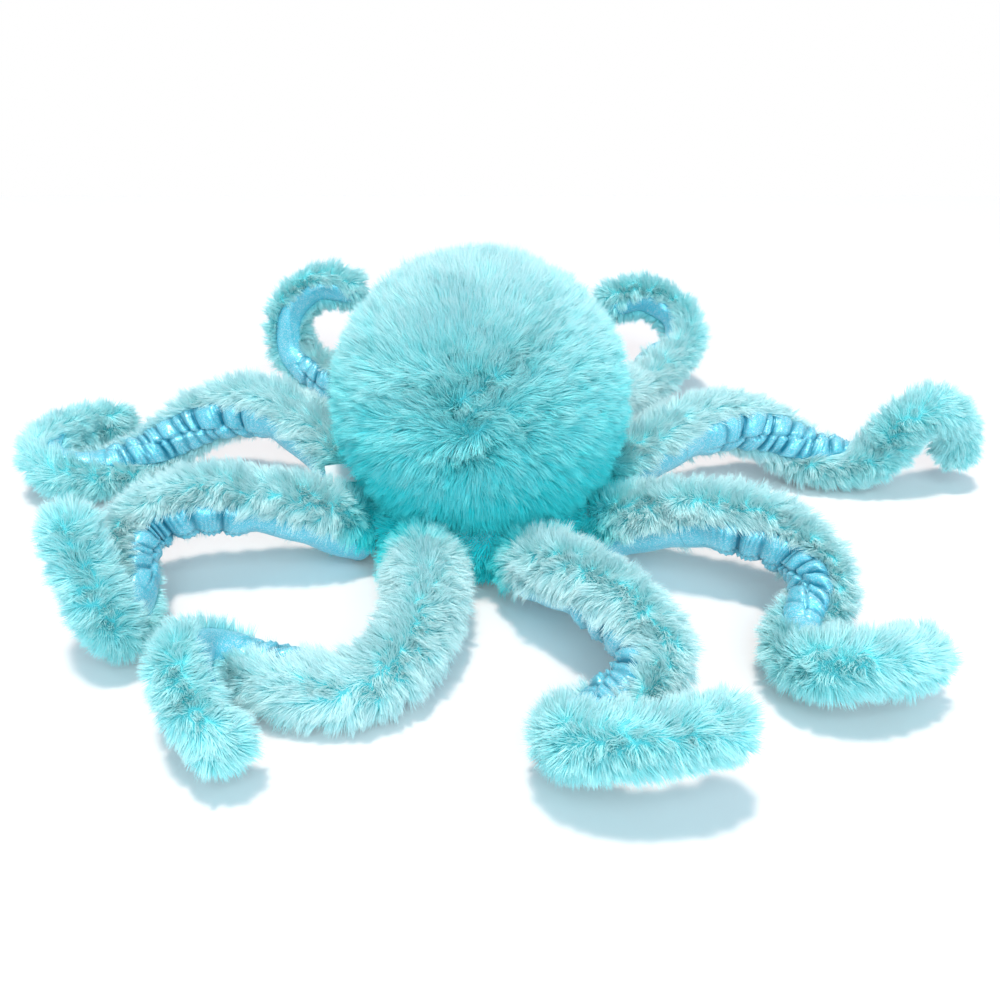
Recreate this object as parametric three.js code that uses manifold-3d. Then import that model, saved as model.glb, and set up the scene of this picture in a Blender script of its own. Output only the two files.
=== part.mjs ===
// A plush octopus with a round body of long pile and eight arms.
// Each arm is a fur strip and a satin strip round a stuffed core, drawn up by an elastic.
// Lengths are in millimetres. Up is +Z, and the origin lies on the floor under the body.

import * as THREE from 'three';
import { mergeVertices } from 'three/addons/utils/BufferGeometryUtils.js';
import Module from 'manifold-3d';

const wasm = await Module();
wasm.setup();

// Clearances
const gap = 0.35; // between two sewn pieces that touch
const seamGap = 1.3; // between the edges of fur and satin

// Body
const bodyRadius = 105; // the ball, pile included
const bodyPileThickness = 12; // backing and pile
const bodySeamHeight = 52; // where the ball's cover meets the base
const bodySeamShare = 0.5714; // how far the seam lies below the ball's middle, by its radius

// Base, which the arms are sewn to
const baseInset = 8; // how much narrower than the ball it is
const baseFloorInset = 19; // from there in to the flat round that rests on the floor
const baseWaistHeight = 16; // where the base is as wide as it gets, up from the floor
const baseShoulderHeight = 30; // where it starts to draw in towards the seam
const baseWall = 7;
const baseFloorThickness = 3;

// Shoulders, where the arms flex against the base
const armCount = 8;
const shoulderProud = 3; // outwards from the base
const shoulderHeight = 29;

// Arms
const armLength = 350;
const armRadiusRoot = 21; // the sewn tube without its pile
const armRadiusTip = 13;
const armTaperPower = 1.6; // the taper is quickest near the body
const armPileThickness = 6.5;
const armRestHeight = 22; // a strip's middle line above the floor where the arm lies on it
const satinThickness = 1.6;
const tipRoundShare = 0.55; // how far the tip bulges past its last ring, by its radius
const elbowTrimShare = 0.5; // how far the root half is cut back, by the elbow's radius

// Elastic inside the satin
const elasticWidth = 5;
const elasticThickness = 0.8;
const elasticRoom = 2.2; // what the stuffing gives way to it

// Label, sewn into the seam at the side
const labelWidth = 15;
const labelLength = 11;
const labelThickness = 0.8;
const labelDroop = 35; // degrees below level
const labelBearing = -90;

// Facets
const bodySides = 24;
const bodySteps = 8;
const hingeSteps = 3;
const rootSteps = 7;
const tipSteps = 7;
const carrySteps = 300; // how finely a direction is carried along an arm
const elasticFirstStep = 2; // the elastic starts this many of the root half's steps out
const furFacets = 6;
const satinFacets = 3;

const degree = Math.PI / 180;
const facetAngle = (2 * Math.PI) / (furFacets + satinFacets);
const bodyCentreHeight = bodySeamHeight + bodySeamShare * bodyRadius;
const seamReach = bodyRadius * Math.sqrt(1 - bodySeamShare ** 2);
const baseRadius = bodyRadius - baseInset;
const baseFloorRadius = baseRadius - baseFloorInset;
const shoulderReach = baseRadius + shoulderProud;

// Each arm's route from the shoulder, as shares of armLength: outwards, to the side, and up from
// where it lies on the floor. The rolls, in degrees, turn the fur strip about the arm, at even
// spaces from root to tip, and none leaves it on top at the root.
const armTables = [
  {
    name: 'front_right',
    routeShares: [
      [0.097, -0.009, 0.057], [0.2, 0.014, 0.08], [0.303, 0.04, 0.08], [0.394, 0.046, 0.051],
      [0.446, -0.023, 0.023], [0.469, -0.103, 0.011], [0.503, -0.166, 0.031], [0.566, -0.177, 0.069],
      [0.623, -0.12, 0.091], [0.651, -0.034, 0.103], [0.651, 0.046, 0.097],
    ],
    rolls: [-12, -16, -22, -32, -55, -100, -145, -175, -190, -190, -190],
    elbowShare: 0.5,
  },
  {
    name: 'right_front',
    routeShares: [
      [0.103, -0.017, 0.066], [0.206, -0.02, 0.094], [0.306, -0.017, 0.094], [0.4, -0.046, 0.069],
      [0.451, -0.131, 0.034], [0.429, -0.229, 0.014], [0.446, -0.314, 0.02], [0.503, -0.363, 0.051],
      [0.571, -0.346, 0.066], [0.623, -0.286, 0.046], [0.646, -0.223, 0.017],
    ],
    rolls: [-18, -30, -42, -46, -62, -105, -150, -185, -205, -205, -205],
    elbowShare: 0.52,
  },
  {
    name: 'right_rear',
    routeShares: [
      [0.097, -0.017, 0.069], [0.2, -0.011, 0.1], [0.303, 0, 0.103], [0.4, -0.011, 0.069],
      [0.48, -0.057, 0.017], [0.56, -0.114, 0], [0.617, -0.151, 0.034], [0.651, -0.174, 0.091],
      [0.703, -0.189, 0.137], [0.76, -0.197, 0.12], [0.791, -0.2, 0.057], [0.797, -0.2, 0.006],
    ],
    rolls: [-36, -42, -50, -62, -85, -125, -175, -215, -240, -250, -255],
    elbowShare: 0.5,
  },
  {
    name: 'rear_right',
    routeShares: [
      [0.109, -0.009, 0.029], [0.226, -0.04, 0.04], [0.34, -0.08, 0.029], [0.44, -0.12, 0.009],
      [0.529, -0.16, 0.046], [0.62, -0.189, 0.091], [0.674, -0.146, 0.143], [0.646, -0.06, 0.186],
      [0.56, 0.014, 0.18],
    ],
    rolls: [0, 15, 30, 50, 70, 90, 115, 130, 145, 150, 150],
    elbowShare: 0.47,
  },
  {
    name: 'rear_left',
    routeShares: [
      [0.11, 0, 0.03], [0.23, -0.01, 0.03], [0.34, 0.01, 0.02], [0.45, 0.04, 0.01],
      [0.53, 0.11, 0.01], [0.595, 0.175, 0.06], [0.625, 0.17, 0.165], [0.6, 0.095, 0.235],
      [0.565, -0.005, 0.215],
    ],
    rolls: [0, 10, 20, 35, 50, 72, 95, 115, 135, 140, 145],
    elbowShare: 0.47,
  },
  {
    name: 'left_rear',
    routeShares: [
      [0.103, -0.006, 0.086], [0.206, -0.023, 0.126], [0.309, -0.029, 0.126], [0.409, 0, 0.086],
      [0.483, 0.063, 0.026], [0.531, 0.134, 0.003], [0.571, 0.194, 0.009], [0.629, 0.229, 0.023],
      [0.691, 0.206, 0.037], [0.709, 0.131, 0.046], [0.669, 0.057, 0.049], [0.6, 0.017, 0.046],
    ],
    rolls: [30, 38, 48, 58, 75, 110, 150, 175, 185, 185, 185],
    elbowShare: 0.54,
  },
  {
    name: 'left_front',
    routeShares: [
      [0.091, 0.011, 0.074], [0.194, -0.014, 0.109], [0.3, -0.04, 0.12], [0.4, -0.04, 0.091],
      [0.446, 0.017, 0.057], [0.451, 0.091, 0.023], [0.469, 0.16, 0.009], [0.497, 0.209, 0.04],
      [0.517, 0.209, 0.109], [0.531, 0.177, 0.177], [0.543, 0.143, 0.237],
    ],
    rolls: [24, 26, 29, 36, 44, 60, 75, 100, 123, 131, 139],
    elbowShare: 0.56,
  },
  {
    name: 'front_left',
    routeShares: [
      [0.091, 0.051, 0.046], [0.189, 0.091, 0.034], [0.291, 0.097, 0.017], [0.377, 0.063, 0.006],
      [0.411, -0.023, 0.003], [0.409, -0.103, 0.006], [0.423, -0.166, 0.034], [0.48, -0.191, 0.069],
      [0.543, -0.16, 0.086], [0.594, -0.097, 0.057], [0.617, -0.023, 0.011],
    ],
    rolls: [0, -3, -5, -10, -35, -85, -135, -170, -190, -205, -215],
    elbowShare: 0.5,
  },
];

// Materials
const furMaterial = new THREE.MeshStandardMaterial({ color: 0x6ed0d0, roughness: 0.95, metalness: 0 });
const satinMaterial = new THREE.MeshStandardMaterial({ color: 0x82cdea, roughness: 0.35, metalness: 0.2 });
const stuffingMaterial = new THREE.MeshStandardMaterial({ color: 0xf4f2ea, roughness: 1, metalness: 0 });
const elasticMaterial = new THREE.MeshStandardMaterial({ color: 0xe9eef0, roughness: 0.8, metalness: 0 });
const labelMaterial = new THREE.MeshStandardMaterial({ color: 0xf6f8f8, roughness: 0.7, metalness: 0 });

const octopus = new THREE.Group();

// Solids
function toSolid(geometry) {
  const bare = geometry.clone();
  bare.deleteAttribute('normal');
  bare.deleteAttribute('uv');
  const merged = mergeVertices(bare);
  return new wasm.Manifold(new wasm.Mesh({
    numProp: 3,
    vertProperties: Float32Array.from(merged.attributes.position.array),
    triVerts: Uint32Array.from(merged.index.array),
  }));
}

function fromSolid(solid) {
  const { vertProperties, triVerts } = solid.getMesh();
  const geometry = new THREE.BufferGeometry();
  geometry.setAttribute('position', new THREE.BufferAttribute(vertProperties, 3));
  geometry.setIndex(new THREE.BufferAttribute(triVerts, 1));
  return geometry;
}

function addMesh(name, geometry, material) {
  geometry.computeVertexNormals();
  const mesh = new THREE.Mesh(geometry, material);
  mesh.name = name;
  octopus.add(mesh);
}

// The closed skin of a solid that follows a row of frames
class Skin {
  constructor() {
    this.corners = [];
  }

  addFace(...points) {
    points.forEach((point) => this.corners.push(point.x, point.y, point.z));
  }

  // The wall between two rings. From the edge called turned onwards its facets fold along their
  // other diagonal, so that the facing walls of two nested pieces fold alike.
  addWall(from, to, turned = Infinity) {
    from.forEach((a, k) => {
      const next = (k + 1) % from.length;
      const [b, c, d] = [from[next], to[next], to[k]];
      if (k < turned) {
        this.addFace(a, b, c);
        this.addFace(a, c, d);
      } else {
        this.addFace(a, b, d);
        this.addFace(b, c, d);
      }
    });
  }

  // A flat end. Its outline runs counter-clockwise to someone looking back along the frame.
  addEnd(outline, frame, facesAhead) {
    const ring = placed(outline, frame);
    THREE.ShapeUtils.triangulateShape(outline, []).forEach(([a, b, c]) => {
      this.addFace(ring[a], facesAhead ? ring[b] : ring[c], facesAhead ? ring[c] : ring[b]);
    });
  }

  // A round end over a whole ring, bulging behind the frame or ahead of it
  addDome(ring, frame, height, facesAhead) {
    const apex = frame.centre.clone().addScaledVector(frame.along, facesAhead ? height : -height);
    const shells = Array.from({ length: hingeSteps }, (_, i) => {
      const angle = (i / hingeSteps) * (Math.PI / 2);
      return ring.map((point) => frame.centre.clone()
        .addScaledVector(point.clone().sub(frame.centre), Math.cos(angle))
        .addScaledVector(apex.clone().sub(frame.centre), Math.sin(angle)));
    });
    const join = (from, to) => (facesAhead ? this.addWall(from, to) : this.addWall(to, from));
    for (let i = 0; i + 1 < hingeSteps; i += 1) {
      join(shells[i], shells[i + 1]);
    }
    const top = shells[hingeSteps - 1];
    top.forEach((point, k) => {
      const next = top[(k + 1) % top.length];
      this.addFace(facesAhead ? point : next, facesAhead ? next : point, apex);
    });
  }

  geometry() {
    const geometry = new THREE.BufferGeometry();
    geometry.setAttribute('position', new THREE.Float32BufferAttribute(this.corners, 3));
    return geometry;
  }
}

// An outline set in a frame
function placed(outline, frame) {
  return outline.map((point) => frame.centre.clone()
    .addScaledVector(frame.fur, point.x)
    .addScaledVector(frame.width, point.y));
}

// An arc of facets at one radius, counted from the middle of the fur
function arc(radius, from, to, facets) {
  return Array.from({ length: facets + 1 }, (_, i) => {
    const angle = from + ((to - from) * i) / facets;
    return new THREE.Vector2(radius * Math.cos(angle), radius * Math.sin(angle));
  });
}

// A ball whose facets all lie outside a dome of the given radius, and face the dome's corners
function cup(radius, frame) {
  const sides = furFacets + satinFacets;
  const bands = 2 * hingeSteps + 1;
  const flat = Math.cos(Math.PI / sides) * Math.cos(Math.PI / (2 * bands));
  const ball = new THREE.SphereGeometry((radius + gap) / flat, sides, bands);
  const basis = new THREE.Matrix4().makeBasis(frame.fur, frame.along.clone().negate(), frame.width);
  return toSolid(ball.applyMatrix4(basis.setPosition(frame.centre)));
}

// Arm routes
function bearingOf(index) {
  return ((index + 1 / 2) * 2 * Math.PI) / armCount;
}

function localToPart(bearing, out, side, up) {
  return new THREE.Vector3(
    out * Math.sin(bearing) + side * Math.cos(bearing),
    side * Math.sin(bearing) - out * Math.cos(bearing),
    up,
  );
}

function squaredTo(way, along) {
  return way.addScaledVector(along, -way.dot(along)).normalize();
}

class Arm {
  constructor(table, index) {
    const bearing = bearingOf(index);
    const way = table.routeShares.map(([out, side, up]) => localToPart(
      bearing,
      shoulderReach + armLength * out,
      armLength * side,
      armRestHeight + armLength * up,
    ));
    way.unshift(localToPart(bearing, shoulderReach, 0, shoulderHeight));
    this.name = table.name;
    this.route = new THREE.CatmullRomCurve3(way, false, 'catmullrom');
    this.rolls = table.rolls;
    this.length = this.route.getLength();
    this.straight = this.carriedAlong(new THREE.Vector3(0, 0, 1));
    this.elbowShare = table.elbowShare;
    this.elbow = this.frameAt(table.elbowShare);
    this.trimShare = (this.furRadius(table.elbowShare) * elbowTrimShare) / this.length;
  }

  // A direction carried along the route without twist
  carriedAlong(start) {
    const way = start.clone();
    return Array.from({ length: carrySteps + 1 }, (_, i) => (
      squaredTo(way, this.route.getTangentAt(i / carrySteps)).clone()
    ));
  }

  rollAt(share) {
    const place = share * (this.rolls.length - 1);
    const step = Math.min(Math.floor(place), this.rolls.length - 2);
    return degree * THREE.MathUtils.lerp(this.rolls[step], this.rolls[step + 1], place - step);
  }

  frameAt(share) {
    const along = this.route.getTangentAt(share);
    const fur = squaredTo(this.straight[Math.round(share * carrySteps)].clone(), along);
    fur.applyAxisAngle(along, this.rollAt(share));
    const width = new THREE.Vector3().crossVectors(along, fur);
    return { centre: this.route.getPointAt(share), along, fur, width, share };
  }

  // The sewn tube's radius, which tapers towards the tip
  tubeRadius(share) {
    return armRadiusTip + (armRadiusRoot - armRadiusTip) * (1 - share) ** armTaperPower;
  }

  furRadius(share) {
    return this.tubeRadius(share) + armPileThickness;
  }

  framesBetween(start, end, steps) {
    return Array.from({ length: steps + 1 }, (_, i) => this.frameAt(start + ((end - start) * i) / steps));
  }
}

// Sections
const furHalf = (furFacets / 2) * facetAngle;

function furOutline(arm, share) {
  const outside = arc(arm.furRadius(share), -furHalf, furHalf, furFacets);
  const inside = arc(arm.tubeRadius(share), furHalf, -furHalf, furFacets);
  return [...outside, ...inside];
}

function satinOutline(arm, share) {
  const radius = arm.tubeRadius(share);
  const start = furHalf + seamGap / radius;
  const end = 2 * Math.PI - start;
  const outside = arc(radius + satinThickness, start, end, satinFacets);
  const inside = arc(radius, end, start, satinFacets);
  return [...outside, ...inside];
}

// The core is drawn in at the middle of the satin, where the elastic runs
function coreOutline(arm, share) {
  const radius = arm.tubeRadius(share) - gap;
  return arc(radius, -furHalf, 2 * Math.PI - furHalf - facetAngle, furFacets + satinFacets - 1)
    .map((point, i) => (i > furFacets ? point.multiplyScalar((radius - elasticRoom) / radius) : point));
}

function elasticOutline(arm, share) {
  const seat = arm.tubeRadius(share) * Math.cos(facetAngle / 2) - elasticRoom / 2 - gap / 2;
  const half = elasticWidth / 2;
  const inner = elasticThickness / 2 - seat;
  const outer = -elasticThickness / 2 - seat;
  return [
    new THREE.Vector2(inner, half),
    new THREE.Vector2(outer, half),
    new THREE.Vector2(outer, -half),
    new THREE.Vector2(inner, -half),
  ];
}

function loft(arm, frames, outline, turned = Infinity) {
  const skin = new Skin();
  const outlines = frames.map((frame) => outline(arm, frame.share));
  const rings = frames.map((frame, i) => placed(outlines[i], frame));
  rings.slice(1).forEach((ring, i) => skin.addWall(rings[i], ring, turned));
  skin.addEnd(outlines[0], frames[0], false);
  skin.addEnd(outlines[rings.length - 1], frames[rings.length - 1], true);
  return skin.geometry();
}

function shifted(frame, distance) {
  return { ...frame, centre: frame.centre.clone().addScaledVector(frame.along, distance) };
}

// The whole ring that a dome stands on, and the part of its floor inside the fur strip
function domeRing(arm, share) {
  return arc(arm.furRadius(share), -furHalf, 2 * Math.PI - furHalf - facetAngle, furFacets + satinFacets - 1);
}

function domeFloor(arm, share) {
  const inside = arc(arm.tubeRadius(share), -furHalf, furHalf, furFacets);
  return [...inside, ...arc(arm.furRadius(share), furHalf, 2 * Math.PI - furHalf, satinFacets)];
}

// A fur strip whose start, and at the tip its end too, closes in a dome
function furPiece(arm, frames, closesTip) {
  const skin = new Skin();
  const first = frames[0];
  const last = frames[frames.length - 1];
  const rings = frames.map((frame) => placed(furOutline(arm, frame.share), frame));
  rings.slice(1).forEach((ring, i) => skin.addWall(rings[i], ring, furFacets + 1));
  skin.addDome(placed(domeRing(arm, first.share), first), first, arm.furRadius(first.share), false);
  skin.addEnd(domeFloor(arm, first.share), first, true);
  if (closesTip) {
    const height = tipRoundShare * arm.furRadius(last.share);
    skin.addDome(placed(domeRing(arm, last.share), last), last, height, true);
    skin.addEnd(domeFloor(arm, last.share), last, false);
  } else {
    skin.addEnd(furOutline(arm, last.share), last, true);
  }
  return skin.geometry();
}

// The frames of what lies inside the fur, clear of the domes that close its ends
function innerFrames(frames, closesTip) {
  const inside = [...frames];
  inside[0] = shifted(inside[0], gap);
  if (closesTip) {
    inside.push(shifted(inside.pop(), -gap));
  }
  return inside;
}

// Arm pieces
function addArm(arm) {
  const rootEnd = arm.elbowShare - arm.trimShare;
  const elbowCup = cup(arm.furRadius(arm.elbowShare), arm.elbow);
  const rootFrames = arm.framesBetween(0, rootEnd, rootSteps);
  const rootCoreFrames = innerFrames(rootFrames, false);
  const tipFrames = arm.framesBetween(arm.elbowShare, 1, tipSteps);
  const tipCoreFrames = innerFrames(tipFrames, true);
  const elasticFrames = rootFrames.slice(elasticFirstStep, -1);
  const prefix = `${arm.name}_arm`;
  const satinTurn = satinFacets + 1;
  const elasticTurn = 3; // its inner side, which faces the core

  const rootFur = toSolid(furPiece(arm, rootFrames, false));
  addMesh(`${prefix}_root_fur`, fromSolid(rootFur.subtract(elbowCup)), furMaterial);
  const rootSatin = toSolid(loft(arm, rootCoreFrames, satinOutline, satinTurn));
  addMesh(`${prefix}_root_satin`, fromSolid(rootSatin.subtract(elbowCup)), satinMaterial);
  const rootCore = toSolid(loft(arm, rootCoreFrames, coreOutline));
  addMesh(`${prefix}_root_stuffing`, fromSolid(rootCore.subtract(elbowCup)), stuffingMaterial);
  addMesh(`${prefix}_elastic`, loft(arm, elasticFrames, elasticOutline, elasticTurn), elasticMaterial);
  addMesh(`${prefix}_tip_fur`, furPiece(arm, tipFrames, true), furMaterial);
  addMesh(`${prefix}_tip_satin`, loft(arm, tipCoreFrames, satinOutline, satinTurn), satinMaterial);
  addMesh(`${prefix}_tip_stuffing`, loft(arm, tipCoreFrames, coreOutline), stuffingMaterial);
}

// Body
function ballArc(radius, fromHeight, toTop) {
  const lowest = Math.asin((fromHeight - bodyCentreHeight) / radius);
  const points = Array.from({ length: bodySteps + 1 }, (_, i) => {
    const angle = lowest + ((Math.PI / 2 - lowest) * i) / bodySteps;
    const reach = i < bodySteps ? radius * Math.cos(angle) : 0;
    return new THREE.Vector2(reach, bodyCentreHeight + radius * Math.sin(angle));
  });
  return toTop ? points : points.reverse();
}

function turnedSolid(profile) {
  const geometry = new THREE.LatheGeometry(profile, bodySides);
  return toSolid(geometry.rotateX(Math.PI / 2));
}

// The base's section, drawn in by an inset on every side, from the axis to the seam
function baseProfile(inset, floor) {
  return [
    new THREE.Vector2(0, floor),
    new THREE.Vector2(baseFloorRadius - inset / 2, floor),
    new THREE.Vector2(baseRadius - inset, baseWaistHeight),
    new THREE.Vector2(baseRadius - inset, baseShoulderHeight),
    new THREE.Vector2(seamReach - inset, bodySeamHeight - gap),
  ];
}

function addBody(arms) {
  const innerRadius = bodyRadius - bodyPileThickness;
  const cover = [...ballArc(bodyRadius, bodySeamHeight, true), ...ballArc(innerRadius, bodySeamHeight, false)];
  const closed = [...cover, cover[0].clone()];
  const cups = arms.map((arm) => cup(arm.furRadius(0), arm.frameAt(0)));
  const carve = (solid) => cups.reduce((left, hollow) => left.subtract(hollow), solid);

  const base = [...baseProfile(0, 0), ...baseProfile(baseWall, baseFloorThickness).reverse()];
  const coreBase = baseProfile(baseWall + gap, baseFloorThickness + gap).slice(0, -1);
  const core = [...coreBase, ...ballArc(innerRadius - gap, bodySeamHeight, true)];

  addMesh('body_cover', fromSolid(carve(turnedSolid(closed))), furMaterial);
  addMesh('base_panel', fromSolid(carve(turnedSolid(base))), furMaterial);
  addMesh('body_stuffing', fromSolid(carve(turnedSolid(core))), stuffingMaterial);
}

// Label
function addLabel() {
  const tape = new THREE.BoxGeometry(labelWidth, labelLength, labelThickness);
  tape.translate(0, -labelLength / 2, 0);
  tape.rotateX(labelDroop * degree);
  tape.translate(0, -seamReach - labelThickness - gap, bodySeamHeight - labelThickness);
  tape.rotateZ(labelBearing * degree);
  addMesh('label', tape, labelMaterial);
}

const arms = armTables.map((table, index) => new Arm(table, index));
addBody(arms);
addLabel();
arms.forEach(addArm);

export default octopus;
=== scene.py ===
# A shaggy plush octopus on a white floor. Lengths are in metres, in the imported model's frame.

import math

import bmesh
import bpy
import numpy as np
from mathutils import Matrix, Vector
from mathutils.kdtree import KDTree


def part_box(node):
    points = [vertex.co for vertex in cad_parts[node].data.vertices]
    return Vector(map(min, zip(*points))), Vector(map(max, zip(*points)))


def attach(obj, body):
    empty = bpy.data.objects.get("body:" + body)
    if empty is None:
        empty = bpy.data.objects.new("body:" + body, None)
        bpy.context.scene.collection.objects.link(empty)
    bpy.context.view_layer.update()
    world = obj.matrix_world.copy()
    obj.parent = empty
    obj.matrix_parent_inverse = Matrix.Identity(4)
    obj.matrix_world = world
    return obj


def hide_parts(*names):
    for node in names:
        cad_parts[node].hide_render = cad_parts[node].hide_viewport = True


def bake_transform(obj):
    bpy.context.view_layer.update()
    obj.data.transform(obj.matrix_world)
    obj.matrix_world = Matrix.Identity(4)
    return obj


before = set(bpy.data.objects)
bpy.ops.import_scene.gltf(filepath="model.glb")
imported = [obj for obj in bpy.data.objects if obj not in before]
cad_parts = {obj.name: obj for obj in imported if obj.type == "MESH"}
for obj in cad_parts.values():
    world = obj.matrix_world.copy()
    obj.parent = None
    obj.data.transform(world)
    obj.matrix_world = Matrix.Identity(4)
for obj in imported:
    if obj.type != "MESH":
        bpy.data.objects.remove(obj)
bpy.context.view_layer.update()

scene = bpy.context.scene


# Camera, floor and light
# The toy is seen from a little above. It lies on a white floor under a soft overhead light, with a
# weaker one from the camera's side, and its shadows fall just towards the camera.
FLOOR_HALF = 1.0
FLOOR_GLOW = 0.06  # keeps the lit floor white in the picture without lighting the toy

camera = bpy.data.objects.new("camera", bpy.data.cameras.new("camera"))
scene.collection.objects.link(camera)
camera.data.lens = 45
camera.data.sensor_width = 36
camera.data.clip_end = 20
camera.location = (0.0142, -0.8175, 0.4639)
camera.rotation_euler = (math.radians(62), 0, 0)
scene.camera = camera
scene.view_settings.view_transform = "Standard"


class Socket:
    """A value in a material, with sums and products written as such."""

    def __init__(self, paint, link):
        self.paint = paint
        self.link = link

    def _sum(self, operation, *values):
        return self.paint.node("ShaderNodeMath", {"operation": operation}, values)

    def __add__(self, other):
        return self._sum("ADD", self, other)

    def __mul__(self, other):
        return self._sum("MULTIPLY", self, other)

    __radd__ = __add__
    __rmul__ = __mul__


class Paint:
    """A material of its own, with one principled shader."""

    def __init__(self, name, **settings):
        self.material = bpy.data.materials.new(name)
        self.material.use_nodes = True
        self.tree = self.material.node_tree
        self.shader = self.tree.nodes["Principled BSDF"]
        for key, value in settings.items():
            socket = key.replace("_", " ").title().replace("Ior", "IOR")
            self.shader.inputs[socket].default_value = value

    def node(self, kind, settings=None, values=(), output=0):
        """A node with its settings, and values or links for its sockets, by place or by name."""
        made = self.tree.nodes.new(kind)
        for key, value in (settings or {}).items():
            setattr(made, key, value)
        pairs = values.items() if isinstance(values, dict) else enumerate(values)
        for key, value in pairs:
            if isinstance(value, Socket):
                self.tree.links.new(value.link, made.inputs[key])
            else:
                made.inputs[key].default_value = value
        return Socket(self, made.outputs[output])

    def feed(self, name, value):
        self.tree.links.new(value.link, self.shader.inputs[name])

    def place(self):
        return self.node("ShaderNodeTexCoord", output="Object")

    def noise(self, scale, detail):
        values = {"Vector": self.place(), "Scale": scale, "Detail": detail}
        return self.node("ShaderNodeTexNoise", None, values, "Fac")

    def ramp(self, factor, stops):
        """A colour ramp with stops of (place, (red, green, blue))."""
        made = self.tree.nodes.new("ShaderNodeValToRGB")
        ramp = made.color_ramp
        while len(ramp.elements) < len(stops):
            ramp.elements.new(0.5)
        for element, (at, colour) in zip(ramp.elements, stops):
            element.position = at
            element.color = (*colour, 1)
        self.tree.links.new(factor.link, made.inputs[0])
        return Socket(self, made.outputs[0])

    def between(self, factor, first, second):
        """A mix of two colours."""
        first, second = (
            (*value, 1) if isinstance(value, tuple) else value for value in (first, second)
        )
        return self.node(
            "ShaderNodeMix", {"data_type": "RGBA"}, {0: factor, 6: first, 7: second}, 2
        )

    def bump(self, height, distance, strength):
        values = {"Height": height, "Distance": distance, "Strength": strength}
        self.feed("Normal", self.node("ShaderNodeBump", None, values))


def new_object(name, mesh, *materials):
    piece = bpy.data.objects.new(name, mesh)
    scene.collection.objects.link(piece)
    for material in materials:
        mesh.materials.append(material)
    return piece


def from_bmesh(name, form, *materials, smooth=True):
    mesh = bpy.data.meshes.new(name)
    form.to_mesh(mesh)
    form.free()
    mesh.shade_smooth() if smooth else mesh.shade_flat()
    return new_object(name, mesh, *materials)


floor_form = bmesh.new()
bmesh.ops.create_grid(floor_form, x_segments=1, y_segments=1, size=FLOOR_HALF)
floor_paint = Paint("floor", base_color=(0.94, 0.92, 0.92, 1), roughness=0.9)
camera_ray = floor_paint.node("ShaderNodeLightPath")
floor_paint.feed("Emission Strength", camera_ray * FLOOR_GLOW)
floor_paint.shader.inputs["Emission Color"].default_value = (1, 0.9, 0.9, 1)
floor_piece = from_bmesh("floor", floor_form, floor_paint.material, smooth=False)

world = bpy.data.worlds.new("studio")
scene.world = world
world.use_nodes = True
sky = world.node_tree
fill = sky.nodes["Background"]
fill.inputs["Color"].default_value = (0.60, 0.82, 1.0, 1)
fill.inputs["Strength"].default_value = 0.43
backdrop = sky.nodes.new("ShaderNodeBackground")
backdrop.inputs["Color"].default_value = (1, 1, 1, 1)
path = sky.nodes.new("ShaderNodeLightPath")
rays = sky.nodes.new("ShaderNodeMath")
rays.operation = "MAXIMUM"
mirrored = sky.nodes.new("ShaderNodeMath")
mirrored.operation = "MAXIMUM"
chosen = sky.nodes.new("ShaderNodeMixShader")
sky.links.new(path.outputs["Is Glossy Ray"], mirrored.inputs[0])
sky.links.new(path.outputs["Is Transmission Ray"], mirrored.inputs[1])
sky.links.new(path.outputs["Is Camera Ray"], rays.inputs[0])
sky.links.new(mirrored.outputs[0], rays.inputs[1])
sky.links.new(rays.outputs[0], chosen.inputs[0])
sky.links.new(fill.outputs[0], chosen.inputs[1])
sky.links.new(backdrop.outputs[0], chosen.inputs[2])
sky.links.new(chosen.outputs[0], sky.nodes["World Output"].inputs[0])


def soft_light(name, place, aim, size, power, colour):
    lamp = bpy.data.lights.new(name, "AREA")
    lamp.size = size
    lamp.energy = power
    lamp.color = colour
    light = bpy.data.objects.new(name, lamp)
    scene.collection.objects.link(light)
    light.location = place
    light.rotation_euler = (Vector(aim) - Vector(place)).to_track_quat("-Z", "Y").to_euler()


soft_light(
    "overhead",
    place=(-0.46, -1.5, 9),
    aim=(0, 0, 0),
    size=1.0,
    power=545,
    colour=(1.0, 0.83, 0.75),
)
soft_light(
    "front fill",
    place=(0.5, -3.2, 2.4),
    aim=(0, 0, 0.05),
    size=2.6,
    power=98,
    colour=(0.66, 0.92, 1.0),
)


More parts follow.
